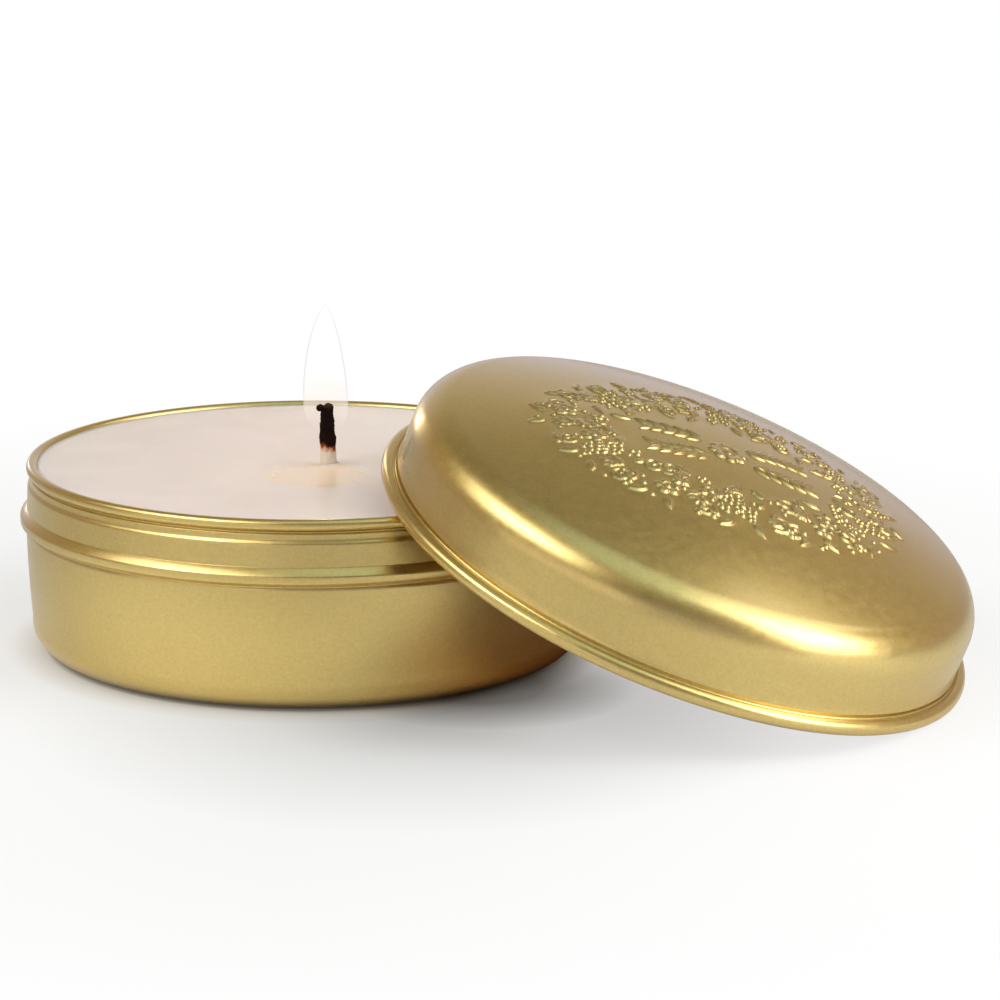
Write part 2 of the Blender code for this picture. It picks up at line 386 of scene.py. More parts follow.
def burnt_cotton():
    """The wick by height: waxy white at the foot, a red-brown scorched band, then black char."""
    material, tree, shader = new_material("burnt_cotton")
    axes = axes_node(tree)
    slanted = math_node(tree, "MULTIPLY_ADD", axes["X"], 0.30, axes["Z"])
    unevenness = range_node(tree, noise_node(tree, 1500.0), -0.8 * MM, 0.8 * MM)
    low, high = (WAX_LEVEL + 1.0) * MM, (WICK_TOP + 0.5) * MM
    share = range_node(tree, math_node(tree, "ADD", slanted, unevenness), 0.0, 1.0, low, high)
    stops = [
        (0.00, (0.78, 0.68, 0.58)),
        (0.20, (0.76, 0.68, 0.62)),
        (0.26, (0.62, 0.33, 0.18)),
        (0.30, (0.22, 0.06, 0.025)),
        (0.36, (0.012, 0.004, 0.003)),
        (0.90, (0.006, 0.003, 0.002)),
        (1.00, (0.026, 0.009, 0.006)),
    ]
    tree.links.new(ramp_node(tree, share, stops), shader.inputs["Base Color"])
    shader.inputs["Roughness"].default_value = 0.9
    shader.inputs["Specular IOR Level"].default_value = 0.08
    bump(tree, shader, noise_node(tree, 3500.0, detail=5.0, roughness=0.7), 0.5, 0.0001)
    return material


def flame_glow():
    """A flame in bright light: its far side glows and veils what is behind, and its edge is faintly lilac."""
    material = bpy.data.materials.new("flame_glow")
    material.use_nodes = True
    tree = material.node_tree
    tree.nodes.clear()
    height = axes_node(tree)["Z"]
    facing = add_node(tree, "ShaderNodeLayerWeight", Blend=0.5).outputs["Facing"]
    edge = range_node(tree, facing, 0.0, 1.0, 0.60, 0.88)
    above_foot = range_node(tree, height, 0.0, 1.0, (WICK_TOP - 1.2) * MM, (WICK_TOP + 2.0) * MM)
    outline = math_node(tree, "MULTIPLY", edge, above_foot)
    clear = tree.nodes.new("ShaderNodeBsdfTransparent")
    tint = mix_colour(tree, outline, (1.0, 1.0, 1.0, 1.0), (0.86, 0.81, 0.85, 1.0))
    tree.links.new(tint, clear.inputs["Color"])
    share = range_node(tree, height, 0.0, 1.0, (WICK_TOP - 4.4) * MM, FLAME_TOP * MM)
    warmth = [(0.0, (1.0, 0.86, 0.72)), (0.25, (1.0, 0.90, 0.80)), (0.45, (1.0, 1.0, 0.99))]
    glow = add_node(tree, "ShaderNodeEmission", Strength=1.02)
    tree.links.new(ramp_node(tree, share, warmth), glow.inputs["Color"])
    covers = grey_stops((0.0, 0.0), (0.12, 0.30), (0.22, 0.52), (0.34, 0.60), (0.60, 0.10))
    cover = ramp_node(tree, share, covers)
    far_side = tree.nodes.new("ShaderNodeNewGeometry").outputs["Backfacing"]
    amount = math_node(tree, "MULTIPLY", cover, far_side)
    output = tree.nodes.new("ShaderNodeOutputMaterial")
    mix_shaders(tree, amount, clear.outputs["BSDF"], glow.outputs["Emission"], output)
    return material


def tinned_steel():
    """Pressed tinplate with faint rolling marks."""
    material, tree, shader = new_material("tinned_steel")
    marks = noise_node(tree, 900.0, detail=4.0)
    colour = ramp_node(tree, marks, [(0.3, (0.50, 0.50, 0.52)), (0.7, (0.62, 0.62, 0.63))])
    tree.links.new(colour, shader.inputs["Base Color"])
    shader.inputs["Metallic"].default_value = 1.0
    tree.links.new(range_node(tree, marks, 0.22, 0.42), shader.inputs["Roughness"])
    bump(tree, shader, noise_node(tree, 3000.0), 0.15, 0.00002)
    return material


def white_foam():
    """Closed-cell foam: small pores, with painted shade darkening them."""
    material, tree, shader = new_material("white_foam")
    cells = add_node(tree, "ShaderNodeTexVoronoi", Scale=2600.0)
    tree.links.new(place_node(tree), cells.inputs["Vector"])
    # Painted shade: each pore is painted darker than the foam around it.
    pore_shade = [(0.1, (0.62, 0.61, 0.58)), (0.5, (0.86, 0.86, 0.83))]
    tree.links.new(ramp_node(tree, cells.outputs["Distance"], pore_shade), shader.inputs["Base Color"])
    shader.inputs["Roughness"].default_value = 0.85
    bump(tree, shader, cells.outputs["Distance"], 0.5, 0.00008)
    return material


def blank_paper():
    """Uncoated label paper: short fibres and faint mottling."""
    material, tree, shader = new_material("blank_paper")
    fibres = noise_node(tree, 1400.0, detail=6.0, roughness=0.7, distortion=1.5)
    colour = ramp_node(tree, fibres, [(0.35, (0.80, 0.77, 0.71)), (0.65, (0.88, 0.86, 0.81))])
    tree.links.new(colour, shader.inputs["Base Color"])
    shader.inputs["Roughness"].default_value = 0.78
    bump(tree, shader, fibres, 0.25, 0.00004)
    return material


# ---------------------------------------------------------------- the can and what it holds


def run(first, last, segments):
    """An S-shaped run between two (radius, height) points, upright at both ends."""
    shares = np.linspace(0.0, 1.0, segments + 1)
    radii = first[0] + (last[0] - first[0]) * smooth_step(shares, 0.0, 1.0)
    return list(zip(radii.tolist(), (first[1] + (last[1] - first[1]) * shares).tolist()))


def can_outside():
    """The outside of the can, from under its rim curl down to the foot's corner."""
    top = CAN_HEIGHT
    groove = arc((39.34, top - 1.80), 0.18, 110, 265, 8)
    lip = arc((39.42, top - 2.06), 0.08, 90, 0, 3)
    ledge = [(39.505, top - 2.17)] + run((39.53, top - 2.66), (39.85, top - 3.44), 9)
    neck = [(39.87, top - 3.62), (39.98, top - 6.40), (39.99, top - 6.48)]
    step = [(40.03, top - 6.51), (40.10, top - 6.56), (40.44, top - 6.93)]
    bead = arc((BEAD_RADIUS - 0.56, top - 7.70), 0.56, 36, 0, 8)
    fold = run((BEAD_RADIUS - 0.01, top - 8.38), (WALL_RADIUS - 0.04, top - 9.20), 10)
    wall_top, wall_foot = top - 9.80, CORNER_RADIUS + 0.9
    wall = [(WALL_RADIUS, top - 9.24), (WALL_RADIUS, wall_top)]
    steps = 14
    for i in range(1, steps + 1):
        share = i / steps
        height = (1 - share) * wall_top + share * wall_foot
        wall.append((WALL_RADIUS + (FOOT_RADIUS - WALL_RADIUS) * share**1.6, height))
    wall.append((FOOT_RADIUS - 0.02, CORNER_RADIUS + 0.3))
    return groove + lip + ledge + neck + step + bead + fold + wall


def base_can():
    """The can. Its outline runs out over its floor, up inside, round the curl, down outside and in below."""
    corner_centre = (FOOT_RADIUS - CORNER_RADIUS, CORNER_RADIUS)
    ring_inner = corner_centre[0] - RING_WIDTH
    panel_edge = ring_inner - PANEL_RISE
    curl_centre = (RIM_RADIUS - RIM_CURL, CAN_HEIGHT - RIM_CURL)
    floor = PANEL_RISE + SHEET
    outside = can_outside()
    inside = [(0.0, floor), (panel_edge * 0.5, floor), (panel_edge - 0.4, floor)]
    inside += [(panel_edge, floor - 0.1), (ring_inner + 0.2, SHEET + 0.02)]
    inside += arc(corner_centre, CORNER_RADIUS - SHEET, -90, 0, 8)
    inside += [(r - SHEET, z) for r, z in reversed(outside)]
    curl = arc(curl_centre, RIM_CURL, 235, -78, 28)
    foot = arc(corner_centre, CORNER_RADIUS, -3, -90, 16)
    under = [(ring_inner + 0.5, 0.0), (ring_inner + 0.2, 0.03), (ring_inner, 0.12)]
    under += [(panel_edge, PANEL_RISE - 0.08), (panel_edge - 0.3, PANEL_RISE), (panel_edge * 0.5, PANEL_RISE)]
    outline = inside + curl + outside + foot + under + [(0.0, PANEL_RISE)]
    can = turned("can_shell", outline, 288)
    lacquer = gold_lacquer("gold_lacquer_can", (1.0, 1.0, 4.0))
    finish_piece(can, "tin", "base_can", lacquer)


def wax_surface_rise(points):
    """How far the wax stands above its level, in mm: it climbs at the wick and the rim, dips in the pool, and
    is slightly uneven."""
    from_wick = np.hypot(points[:, 0] - WICK_AXIS.x, points[:, 1] - WICK_AXIS.y) - WICK_RADIUS
    from_axis = np.hypot(points[:, 0], points[:, 1])
    wick_climb = WICK_CLIMB * np.exp(-np.maximum(from_wick, 0.0) / 0.6)
    rim_climb = WAX_CLIMB * np.exp(-np.maximum(WAX_EDGE - from_axis, 0.0) / 0.7)
    pool = np.hypot(*((points[:, :2] - POOL_CENTRE) / POOL_RADII).T)
    pool_dip = -POOL_DIP * (1.0 - smooth_step(pool, 0.85, 1.05))
    waves = np.array([noise.noise(Vector((x * 0.09, y * 0.09, 4.0))) for x, y in points[:, :2]])
    return wick_climb + rim_climb + pool_dip + 0.05 * waves


def wax_fill():
    """The wax, with a bore for the wick and a pocket for its holder. Its rings shift from the can's axis to
    the wick's axis as they narrow."""
    count = 192
    axis = tuple(WICK_AXIS)
    bore = WICK_RADIUS + 0.02
    tab_radius = (TAB_HIGH.x - TAB_LOW.x) / 2 / MM + FIT
    collar_top = TAB_HIGH.z / MM + FIT
    tab_top = TAB_LOW.z / MM + SHEET + FIT
    collar_radius = WICK_RADIUS + 1.0
    wax_bottom = PANEL_RISE + SHEET + 0.02
    rings = [ring(tab_radius, wax_bottom, count, axis), ring(tab_radius, tab_top, count, axis)]
    rings += [ring(collar_radius, tab_top, count, axis), ring(collar_radius, collar_top, count, axis)]
    rings += [ring(bore, collar_top, count, axis), ring(bore, WAX_LEVEL - 3.0, count, axis)]
    steps = 110
    for i in range(steps + 1):
        share = (i / steps) ** 1.7
        radius = bore + (WAX_EDGE - bore) * share
        centre = (axis[0] * (1 - share), axis[1] * (1 - share))
        points = ring(radius, WAX_LEVEL, count, centre)
        points[:, 2] += wax_surface_rise(points)
        rings.append(points)
    curl_centre = (RIM_RADIUS - RIM_CURL, CAN_HEIGHT - RIM_CURL)
    side = arc(curl_centre, RIM_CURL + 0.02, 166, 258, 10)
    side += [(r - SHEET - 0.03, z) for r, z in can_outside() if z < CAN_HEIGHT - 2.5]
    side += arc((FOOT_RADIUS - CORNER_RADIUS, CORNER_RADIUS), CORNER_RADIUS - SHEET - 0.03, 0, -60, 6)
    rings += [ring(r, z, count) for r, z in side]
    rings += [ring(31.0, wax_bottom, count), ring(20.0, wax_bottom, count, (axis[0] * 0.4, axis[1] * 0.4))]
    wax = mesh_from_rings("wax_fill_poured", rings, closed=True)
    finish_piece(wax, "tin", "wax_fill", candle_wax())


def wick_middle(height):
    """Where the cord's middle is at this height. It bends a little to the left above the wax."""
    free = (height - WAX_LEVEL) / (WICK_TOP - WAX_LEVEL)
    return WICK_AXIS.x - 0.30 * float(smooth_step(free, -0.15, 0.12)) - 0.22 * max(free, 0.0), WICK_AXIS.y


def wick_ring(height, count):
    """One ring of the braided cord: two sets of strands that cross, thinned and roughened by the fire."""
    free = (height - WAX_LEVEL) / (WICK_TOP - WAX_LEVEL)
    angles = np.arange(count) * (2.0 * math.pi / count)
    turn = 2.0 * math.pi * height / 5.2
    braid = np.maximum(np.abs(np.sin(2.0 * angles + turn)), np.abs(np.sin(2.0 * angles - turn)))
    char = float(smooth_step(free, 0.25, 0.5))
    thinning = 1.0 - 0.22 * float(smooth_step(free, 0.3, 0.9))
    radius = WICK_RADIUS * (0.92 + 0.10 * braid) * thinning
    middle = wick_middle(height)
    points = ring(1.0, height, count)
    for point, reach in zip(points, radius):
        spot = Vector((point[0], point[1], height * 0.9))
        rough = noise.noise(spot * 1.6) + 0.6 * noise.noise(spot * 4.0)
        point[:2] *= reach * (1.0 + 0.15 * char * rough)
        point[:2] += middle
    return points


def wick_lobe(name, place, radii, seed, material):
    """A crumbly knob of char on the end of the cord, in mm."""
    rings = []
    for level in np.linspace(-math.pi / 2, math.pi / 2, 25):
        points = ring(math.cos(level), math.sin(level), 1 if abs(level) > 1.57 else 40)
        for point in points:
            rough = noise.noise(Vector(point) * 1.7 + Vector((seed, 0.0, 0.0)))
            rough += 0.5 * noise.noise(Vector(point) * 4.5 + Vector((0.0, seed, 0.0)))
            point *= 1.0 + 0.22 * rough
        rings.append(points * np.array(radii) + np.array(place))
    lobe = mesh_from_rings(name, rings[::-1])
    lobe.data.materials.append(material)
    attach(lobe, "tin")


def wick():
    """The cord and the three knobs of char at its end."""
    count = 56
    low, high = TAB_LOW.z / MM, WICK_HEAD
    heights = np.concatenate([np.linspace(low, WAX_LEVEL, 60), np.linspace(WAX_LEVEL, high, 90)[1:]])
    rings = [wick_ring(float(height), count) for height in heights]
    rings.append(ring(0.0, high + 0.1, 1, wick_middle(high)))
    rings.insert(0, ring(0.0, low, 1, tuple(WICK_AXIS)))
    cord = mesh_from_rings("wick_braided", rings[::-1])
    material = burnt_cotton()
    finish_piece(cord, "tin", "wick", material)
    x, y = wick_middle(high)
    wick_lobe("wick_knob_left", (x - 0.98, y - 0.1, high - 0.22), (0.55, 0.6, 0.5), 3.0, material)
    wick_lobe("wick_knob_right", (x + 0.30, y, high - 0.18), (0.66, 0.8, 0.62), 9.0, material)
    wick_lobe("wick_knob_neck", (x - 0.45, y, high - 0.45), (0.55, 0.6, 0.45), 5.0, material)


def flame():
    """A slim drop round the top of the wick."""
    low = WICK_TOP - 4.5
    widest = WICK_TOP + 0.4
    rings = []
    steps = 60
    for i in range(steps + 1):
        height = FLAME_TOP + (low - FLAME_TOP) * i / steps
        if height > widest:
            radius = FLAME_RADIUS * max(1.0 - ((height - widest) / (FLAME_TOP - widest)) ** 1.8, 0.0) ** 0.72
        else:
            radius = FLAME_RADIUS * math.sqrt(max(1.0 - ((widest - height) / (widest - low)) ** 2.6, 0.0))
        share = (height - low) / (FLAME_TOP - low)
        centre = (WICK_AXIS.x - 0.45 - 0.35 * math.sin(share * 2.4), WICK_AXIS.y)
        rings.append(ring(radius, height, 1 if i in (0, steps) else 64, centre))
    drop = mesh_from_rings("flame", rings)
    drop.data.materials.append(flame_glow())
    drop.visible_shadow = False
    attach(drop, "tin")


def wick_holder():
    """The sustainer: a thin pressed disc with a rolled edge and a crimped collar."""
    low, high = TAB_LOW.z / MM, TAB_HIGH.z / MM
    edge = (TAB_HIGH.x - TAB_LOW.x) / 2 / MM
    hole, collar = WICK_RADIUS + FIT, WICK_RADIUS + 0.7
    top = low + SHEET
    outline = [(hole, low + 0.1), (hole, high - 0.1), (hole + 0.1, high)]
    outline += [(collar - 0.1, high), (collar, high - 0.1)]
    outline += [(collar, top + 0.5), (collar + 0.15, top + 0.15), (collar + 0.6, top)]
    outline += [(edge - 1.3, top), (edge - 1.0, top - 0.08), (edge - 0.2, top - 0.08)]
    outline += [(edge, low + SHEET / 2), (edge - 0.1, low), (hole + 0.1, low)]
    tab = turned("wick_sustainer_pressed", outline, 128, tuple(WICK_AXIS), closed=True)
    crimp_low = low + 2.5
    for vertex in tab.data.vertices:
        x, y = vertex.co.x / MM - WICK_AXIS.x, vertex.co.y / MM - WICK_AXIS.y
        radius, height = math.hypot(x, y), vertex.co.z / MM
        if radius < collar + 0.1 and height > crimp_low:
            depth = 0.10 * math.sin(math.pi * (height - crimp_low) / (high - crimp_low))
            squeeze = 1.0 - depth * math.cos(4 * math.atan2(y, x)) ** 2
            vertex.co.x, vertex.co.y = (WICK_AXIS.x + x * squeeze) * MM, (WICK_AXIS.y + y * squeeze) * MM
    finish_piece(tab, "tin", "wick_sustainer", tinned_steel())


def soft_disc(name, radius, low, high, edge, centre):
    """A disc with rounded edges, in mm."""
    outline = [(0.0, high), (radius * 0.6, high)] + arc((radius - edge, high - edge), edge, 90, 0, 5)
    outline += arc((radius - edge, low + edge), edge, 0, -90, 5) + [(radius * 0.6, low), (0.0, low)]
    return turned(name, outline, 160, centre)


def hidden_discs():
    """The foam pad under the sustainer and the paper label under the can."""
    pad_radius = (PAD_HIGH.x - PAD_LOW.x) / 2 / MM
    pad_low, pad_high = PAD_LOW.z / MM, PAD_HIGH.z / MM
    pad = soft_disc("adhesive_pad_foam", pad_radius, pad_low, pad_high, 0.15, tuple(WICK_AXIS))
    finish_piece(pad, "tin", "adhesive_pad", white_foam())
    label = soft_disc("base_label_blank", LABEL_RADIUS, 0.0, LABEL_THICKNESS, 0.08, (0.0, 0.0))
    finish_piece(label, "tin", "base_label", blank_paper())


# ---------------------------------------------------------------- the pressed ornament on the lid

# The wreath follows an oval. All sizes are in mm. A motif ends within its reach from its own middle.
WREATH_HALF_AXES = (21.8, 15.6)
WREATH_CENTRE = (0.3, -1.2)
ORNAMENT_TURN = math.radians(8.0)
RELIEF = 0.30
PILLOW = 0.09
MOTIF_REACH = 4.4
SEED_COUNT = 150


def dome_bump(distance, radius, height):
    """A round bump."""
    return height * np.clip(1.0 - (distance / radius) ** 2, 0.0, None) ** 0.8


def berry_bunch(u, v):
    """A tapering bunch of berries that hangs along +u."""
    height = np.zeros_like(u)
    rows = (2, 3, 4, 3, 2, 1)
    spacing = 0.96
    for row, berries in enumerate(rows):
        for k in range(berries):
            centre_u = (row - 2.5) * spacing * 0.86 + 0.14 * math.sin(5.0 * row + 7.0 * k)
            centre_v = (k - (berries - 1) / 2) * spacing + 0.14 * math.cos(3.0 * row + 4.0 * k)
            height = np.maximum(height, dome_bump(np.hypot(u - centre_u, v - centre_v), 0.40, RELIEF))
    return height


def vine_leaf(u, v):
    """A five-lobed leaf along +u, with veins."""
    radius = np.hypot(u, v)
    angle = np.arctan2(v, u)
    lobes = 0.58 + 0.42 * np.abs(np.cos(angle * 1.25)) ** 0.7 * (0.82 + 0.18 * np.cos(angle * 9.0))
    edge = 2.3 * lobes * (0.86 + 0.14 * np.cos(angle))
    body = RELIEF * smooth_step(edge - radius, 0.0, 0.55) * (0.8 + 0.2 * np.cos(radius))
    vein = np.full_like(u, 9.0)
    for direction in np.radians([0.0, 48.0, -48.0, 104.0, -104.0]):
        along = u * math.cos(direction) + v * math.sin(direction)
        across = np.abs(-u * math.sin(direction) + v * math.cos(direction))
        vein = np.minimum(vein, np.where(along > 0.0, across, 9.0))
    return body * (0.55 + 0.45 * smooth_step(vein, 0.05, 0.32))


def long_leaf(u, v, length=2.9, width=0.70):
    """A slim leaf from the origin along +u, with a middle rib."""
    share = np.clip(u / length, 0.0, 1.0)
    half = width * np.sin(math.pi * share**0.8) + 1e-4
    inside = np.clip(1.0 - (np.abs(v) / half) ** 2, 0.0, None)
    body = RELIEF * 0.95 * inside**0.8 * ((u > 0.0) & (u < length))
    return body * (0.6 + 0.4 * smooth_step(np.abs(v), 0.02, 0.2))


def blossom(u, v):
    """A five-petalled flower with a round middle."""
    radius = np.hypot(u, v)
    angle = np.arctan2(v, u)
    edge = 2.0 * (0.55 + 0.45 * np.abs(np.cos(angle * 2.5)) ** 0.6)
    petals = RELIEF * 0.9 * smooth_step(edge - radius, 0.0, 0.5) * smooth_step(radius, 0.3, 1.2)
    return np.maximum(petals, dome_bump(radius, 0.62, RELIEF * 1.2))


def bud(u, v):
    """Three berries in a triangle on a short stalk."""
    height = 0.7 * dome_bump(np.hypot(np.clip(u + 1.1, 0.0, None) * 0.4, v) + 9.0 * (u < -1.6), 0.22, RELIEF)
    for cu, cv in ((0.8, 0.0), (0.0, 0.48), (0.0, -0.48)):
        height = np.maximum(height, dome_bump(np.hypot(u - cu, v - cv), 0.42, RELIEF))
    return height


def seed(u, v):
    """One small round dot."""
    return dome_bump(np.hypot(u, v), 0.36, RELIEF * 0.9)


def tendril(u, v):
    """A spiral shoot that starts at the origin along +u."""
    height = np.zeros_like(u)
    centre_u, centre_v = 2.0, 1.15
    for t in np.linspace(0.0, 1.0, 46):
        turn = -math.pi / 2 - 0.75 + t * 2.0 * math.pi * 1.25
        reach = 1.75 * (1.0 - 0.78 * t)
        x, y = centre_u + reach * math.cos(turn), centre_v + reach * math.sin(turn)
        height = np.maximum(height, dome_bump(np.hypot(u - x, v - y), 0.30 - 0.08 * t, RELIEF * 0.8))
    return height


def rosette(u, v):
    """Eight petals round a button, for the middle of the lid."""
    radius = np.hypot(u, v)
    angle = np.arctan2(v, u)
    edge = 3.1 * (0.62 + 0.38 * np.abs(np.cos(angle * 4.0)) ** 0.5)
    petals = RELIEF * smooth_step(edge - radius, 0.0, 0.45) * smooth_step(radius, 0.6, 1.7)
    return np.maximum(petals, dome_bump(radius, 0.95, RELIEF * 1.2))


def oval_stations(count, out):
    """Points spaced evenly along an oval this far outside the wreath's, each with its outward direction."""
    a, b = WREATH_HALF_AXES[0] + out, WREATH_HALF_AXES[1] + out
    t = np.linspace(0.0, 2.0 * math.pi, 2881)
    x, y = a * np.cos(t), b * np.sin(t)
    length = np.concatenate([[0.0], np.cumsum(np.hypot(np.diff(x), np.diff(y)))])
    wanted = np.interp(np.arange(count) / count * length[-1], length, t)
    return [(a * math.cos(s), b * math.sin(s), math.atan2(a * math.sin(s), b * math.cos(s))) for s in wanted]


# The wreath's rows: (distance out from the oval in mm, number of motifs, the motifs that take turns). Each
# motif comes with its turn from the outward direction in degrees.
WREATH_ROWS = (
    (3.6, 48, ((long_leaf, 35), (tendril, 90), (bud, 0), (long_leaf, -40))),
    (
        1.2,
        32,
        ((berry_bunch, 10), (vine_leaf, -30), (tendril, -70), (blossom, 0), (vine_leaf, 40), (bud, 20)),
    ),
    (-1.4, 30, ((vine_leaf, 170), (blossom, 0), (berry_bunch, 190), (long_leaf, 150), (tendril, 120))),
    (-3.8, 36, ((long_leaf, 215), (bud, 180), (long_leaf, 140), (tendril, -90))),
)


def wreath_stamps():
    """(motif, x, y, direction) of every motif in the wreath, about the wreath's centre."""
    chance = random.Random(11)
    stamps = []
    for out, count, motifs in WREATH_ROWS:
        for index, (x, y, outward) in enumerate(oval_stations(count, out)):
            motif, turn = motifs[index % len(motifs)]
            x += chance.uniform(-0.45, 0.45)
            y += chance.uniform(-0.45, 0.45)
            stamps.append((motif, x, y, outward + math.radians(turn) + chance.uniform(-0.3, 0.3)))
    for x, y, outward in oval_stations(SEED_COUNT, 0.0):
        out = chance.uniform(-5.0, 5.2)
        stamps.append((seed, x + out * math.cos(outward), y + out * math.sin(outward), 0.0))
    return stamps


def middle_stamps():
    """A rosette between two pairs of curved sprigs, in the oval's open middle."""
    stamps = [(rosette, 0.0, 0.0, 0.0)]
    for side in (-1, 1):
        for rise in (-1, 1):
            for k in range(5):
                along = 3.4 + 1.75 * k
                lift = rise * (1.5 + 1.7 * math.sin(along / 6.2))
                slope = math.atan2(rise * 0.27 * math.cos(along / 6.2), side)
                for spread in (0.65, -0.65):
                    stamps.append((long_leaf, side * along, lift, slope + spread))
    return stamps


def ornament_height(x, y):
    """Height of the pressed ornament over the lid's plan, in mm, for arrays of points in mm."""
    c, s = math.cos(ORNAMENT_TURN), math.sin(ORNAMENT_TURN)
    px = c * x + s * y - WREATH_CENTRE[0]
    py = -s * x + c * y - WREATH_CENTRE[1]
    ring_share = np.hypot(px / WREATH_HALF_AXES[0], py / WREATH_HALF_AXES[1])
    from_oval = np.abs(ring_share - 1.0) * WREATH_HALF_AXES[1]
    waviness = 1.0 + 0.5 * np.cos(11.0 * np.arctan2(py, px))
    pillow = PILLOW * (1.0 - smooth_step(from_oval, 2.0, 6.0)) * waviness
    height = np.zeros_like(px)
    for motif, cx, cy, direction in wreath_stamps() + middle_stamps():
        near = np.flatnonzero((px - cx) ** 2 + (py - cy) ** 2 < MOTIF_REACH**2)
        if not len(near):
            continue
        dx, dy = px[near] - cx, py[near] - cy
        u = dx * math.cos(direction) + dy * math.sin(direction)
        v = -dx * math.sin(direction) + dy * math.cos(direction)
        height[near] = np.maximum(height[near], motif(u, v))
    return pillow + height


# ---------------------------------------------------------------- the lid


def lid_frame():
    """The lid's own frame in the row frame, read from its CAD mesh and its joint, and the angle in plan from
    the row frame's +X to the lid's own, in radians."""
    points = np.array([v.co for v in frame["nodes"]["lid_shell"].data.vertices])
    spread, directions = np.linalg.eigh(np.cov(points.T))
    normal = Vector(directions[:, int(np.argmin(spread))])
    normal = normal if normal.z > 0 else -normal
    tip_axis = Vector(TIP_JOINT["axis"])
    downhill = tip_axis.cross(normal).normalized()
    hinge = Vector(TIP_JOINT["pos_m"])
    origin = hinge - downhill * (LID_CURL_OUTER - LID_CURL) * MM - normal * LID_CURL * MM
    rotation = Matrix((downhill, tip_axis, normal)).transposed()
    return Matrix.Translation(origin) @ rotation.to_4x4(), math.atan2(-tip_axis.x, tip_axis.y)


def dome_rings(dome_centre, radius, meeting_angle, layers, turn):
    """Rings of the dome from its middle outwards, carrying the ornament at this turn, and their relief in mm.
    Layers are (out to mm, rings, points per ring)."""
    edge = radius * math.cos(math.radians(meeting_angle))
    rings = [ring(0.0, dome_centre + radius, 1)]
    start = 0.0
    for reach, ring_count, points in layers:
        reach = min(reach, edge)
        for i in range(1, ring_count + 1):
            r = start + (reach - start) * i / ring_count
            rings.append(ring(r, dome_centre + math.sqrt(radius**2 - r**2), points))
        start = reach
    c, s = math.cos(turn), math.sin(turn)
    reliefs = []
    for points in rings:
        x, y = points[:, 0], points[:, 1]
        reliefs.append(ornament_height(c * x + s * y, -s * x + c * y))
        points[:, 2] += reliefs[-1]
    return rings, np.concatenate(reliefs)


def lid_shell():
    """The lid: its outline runs from the dome's middle out and down, round the curl, and back inside."""
    shoulder_centre = (SKIRT_RADIUS - SHOULDER_RADIUS, SKIRT_HEIGHT)
    drop = math.sqrt((DOME_RADIUS - SHOULDER_RADIUS) ** 2 - shoulder_centre[0] ** 2)
    dome_centre = SKIRT_HEIGHT - drop
    meeting_angle = math.degrees(math.atan2(drop, shoulder_centre[0]))
    matrix, heading = lid_frame()
    layers = [(2.0, 8, 56), (4.0, 10, 112), (5.0, 5, 224), (8.0, 22, 448), (11.0, 16, 448)]
    layers += [(30.0, 96, 896), (40.0, 14, 448)]
    outer, relief = dome_rings(dome_centre, DOME_RADIUS, meeting_angle, layers, -heading)
    inner_layers = [(4.0, 4, 56), (8.0, 8, 112), (11.0, 8, 224), (30.0, 60, 448), (40.0, 8, 448)]
    inner, _ = dome_rings(dome_centre, DOME_RADIUS - SHEET, meeting_angle, inner_layers, -heading)
    side = arc(shoulder_centre, SHOULDER_RADIUS, meeting_angle, 0, 26)[1:]
    side += [(SKIRT_RADIUS, 6.6), (SKIRT_RADIUS, 5.2), (SKIRT_RADIUS, 4.0)]
    side += [(SKIRT_RADIUS + 0.02, 3.1), (SKIRT_RADIUS + 0.10, 2.76)]
    side += [(SKIRT_RADIUS + 0.15, 2.60), (SKIRT_RADIUS + 0.11, 2.42)]
    side += arc((SKIRT_RADIUS + 0.44, 2.20), 0.36, 190, 268, 6)
    curl = arc((LID_CURL_OUTER - LID_CURL, LID_CURL), LID_CURL, 114, -160, 32)
    skirt_inside = [(SKIRT_RADIUS - SHEET, height) for height in (0.95, 1.6, 4.5)]
    skirt_inside += arc(shoulder_centre, SHOULDER_RADIUS - SHEET, 0, meeting_angle, 16)[:-1]
    around = 448
    rings = outer + [ring(r, z, around) for r, z in side + curl + skirt_inside] + inner[::-1]
    lid = mesh_from_rings("lid_dome_embossed", rings)
    raised = np.zeros(len(lid.data.vertices))
    raised[: len(relief)] = relief
    lid.data.attributes.new("relief", "FLOAT", "POINT").data.foreach_set("value", raised)
    lid.data.transform(matrix)
    lacquer = gold_lacquer("gold_lacquer_lid", (1.0, 1.0, 1.0))
    finish_piece(lid, "lid", "lid_shell", lacquer)


# ---------------------------------------------------------------- stage


def distance_node(tree, centre):
    """Distance on the floor from a point in mm, in metres."""
    point = (centre[0] * MM, centre[1] * MM, 0.0)
    return vector_node(tree, "DISTANCE", place_node(tree), point).outputs["Value"]


def contact_shadow(tree):
    """The painted shadow that multiplies the floor's colour: dark brown where it meets the can, a shadow
    warmed by painted gold reflection, and darkest under the lid.
    """
    edge = range_node(tree, distance_node(tree, CAN_AXIS), 0.0, 1.0, 0.0356, 0.0436)
    stops = [(0.0, (0.03, 0.01, 0.0)), (0.13, (0.44, 0.36, 0.26))]
    stops += [(0.28, (0.86, 0.83, 0.78)), (1.0, (1.0, 1.0, 1.0))]
    # Painted shadow: darkest under the lid.
    under_lid_shadow = range_node(tree, distance_node(tree, (24.0, -26.0)), 0.28, 1.0, 0.008, 0.021)
    return mix_colour(tree, under_lid_shadow, (0.04, 0.03, 0.02, 1.0), ramp_node(tree, edge, stops))


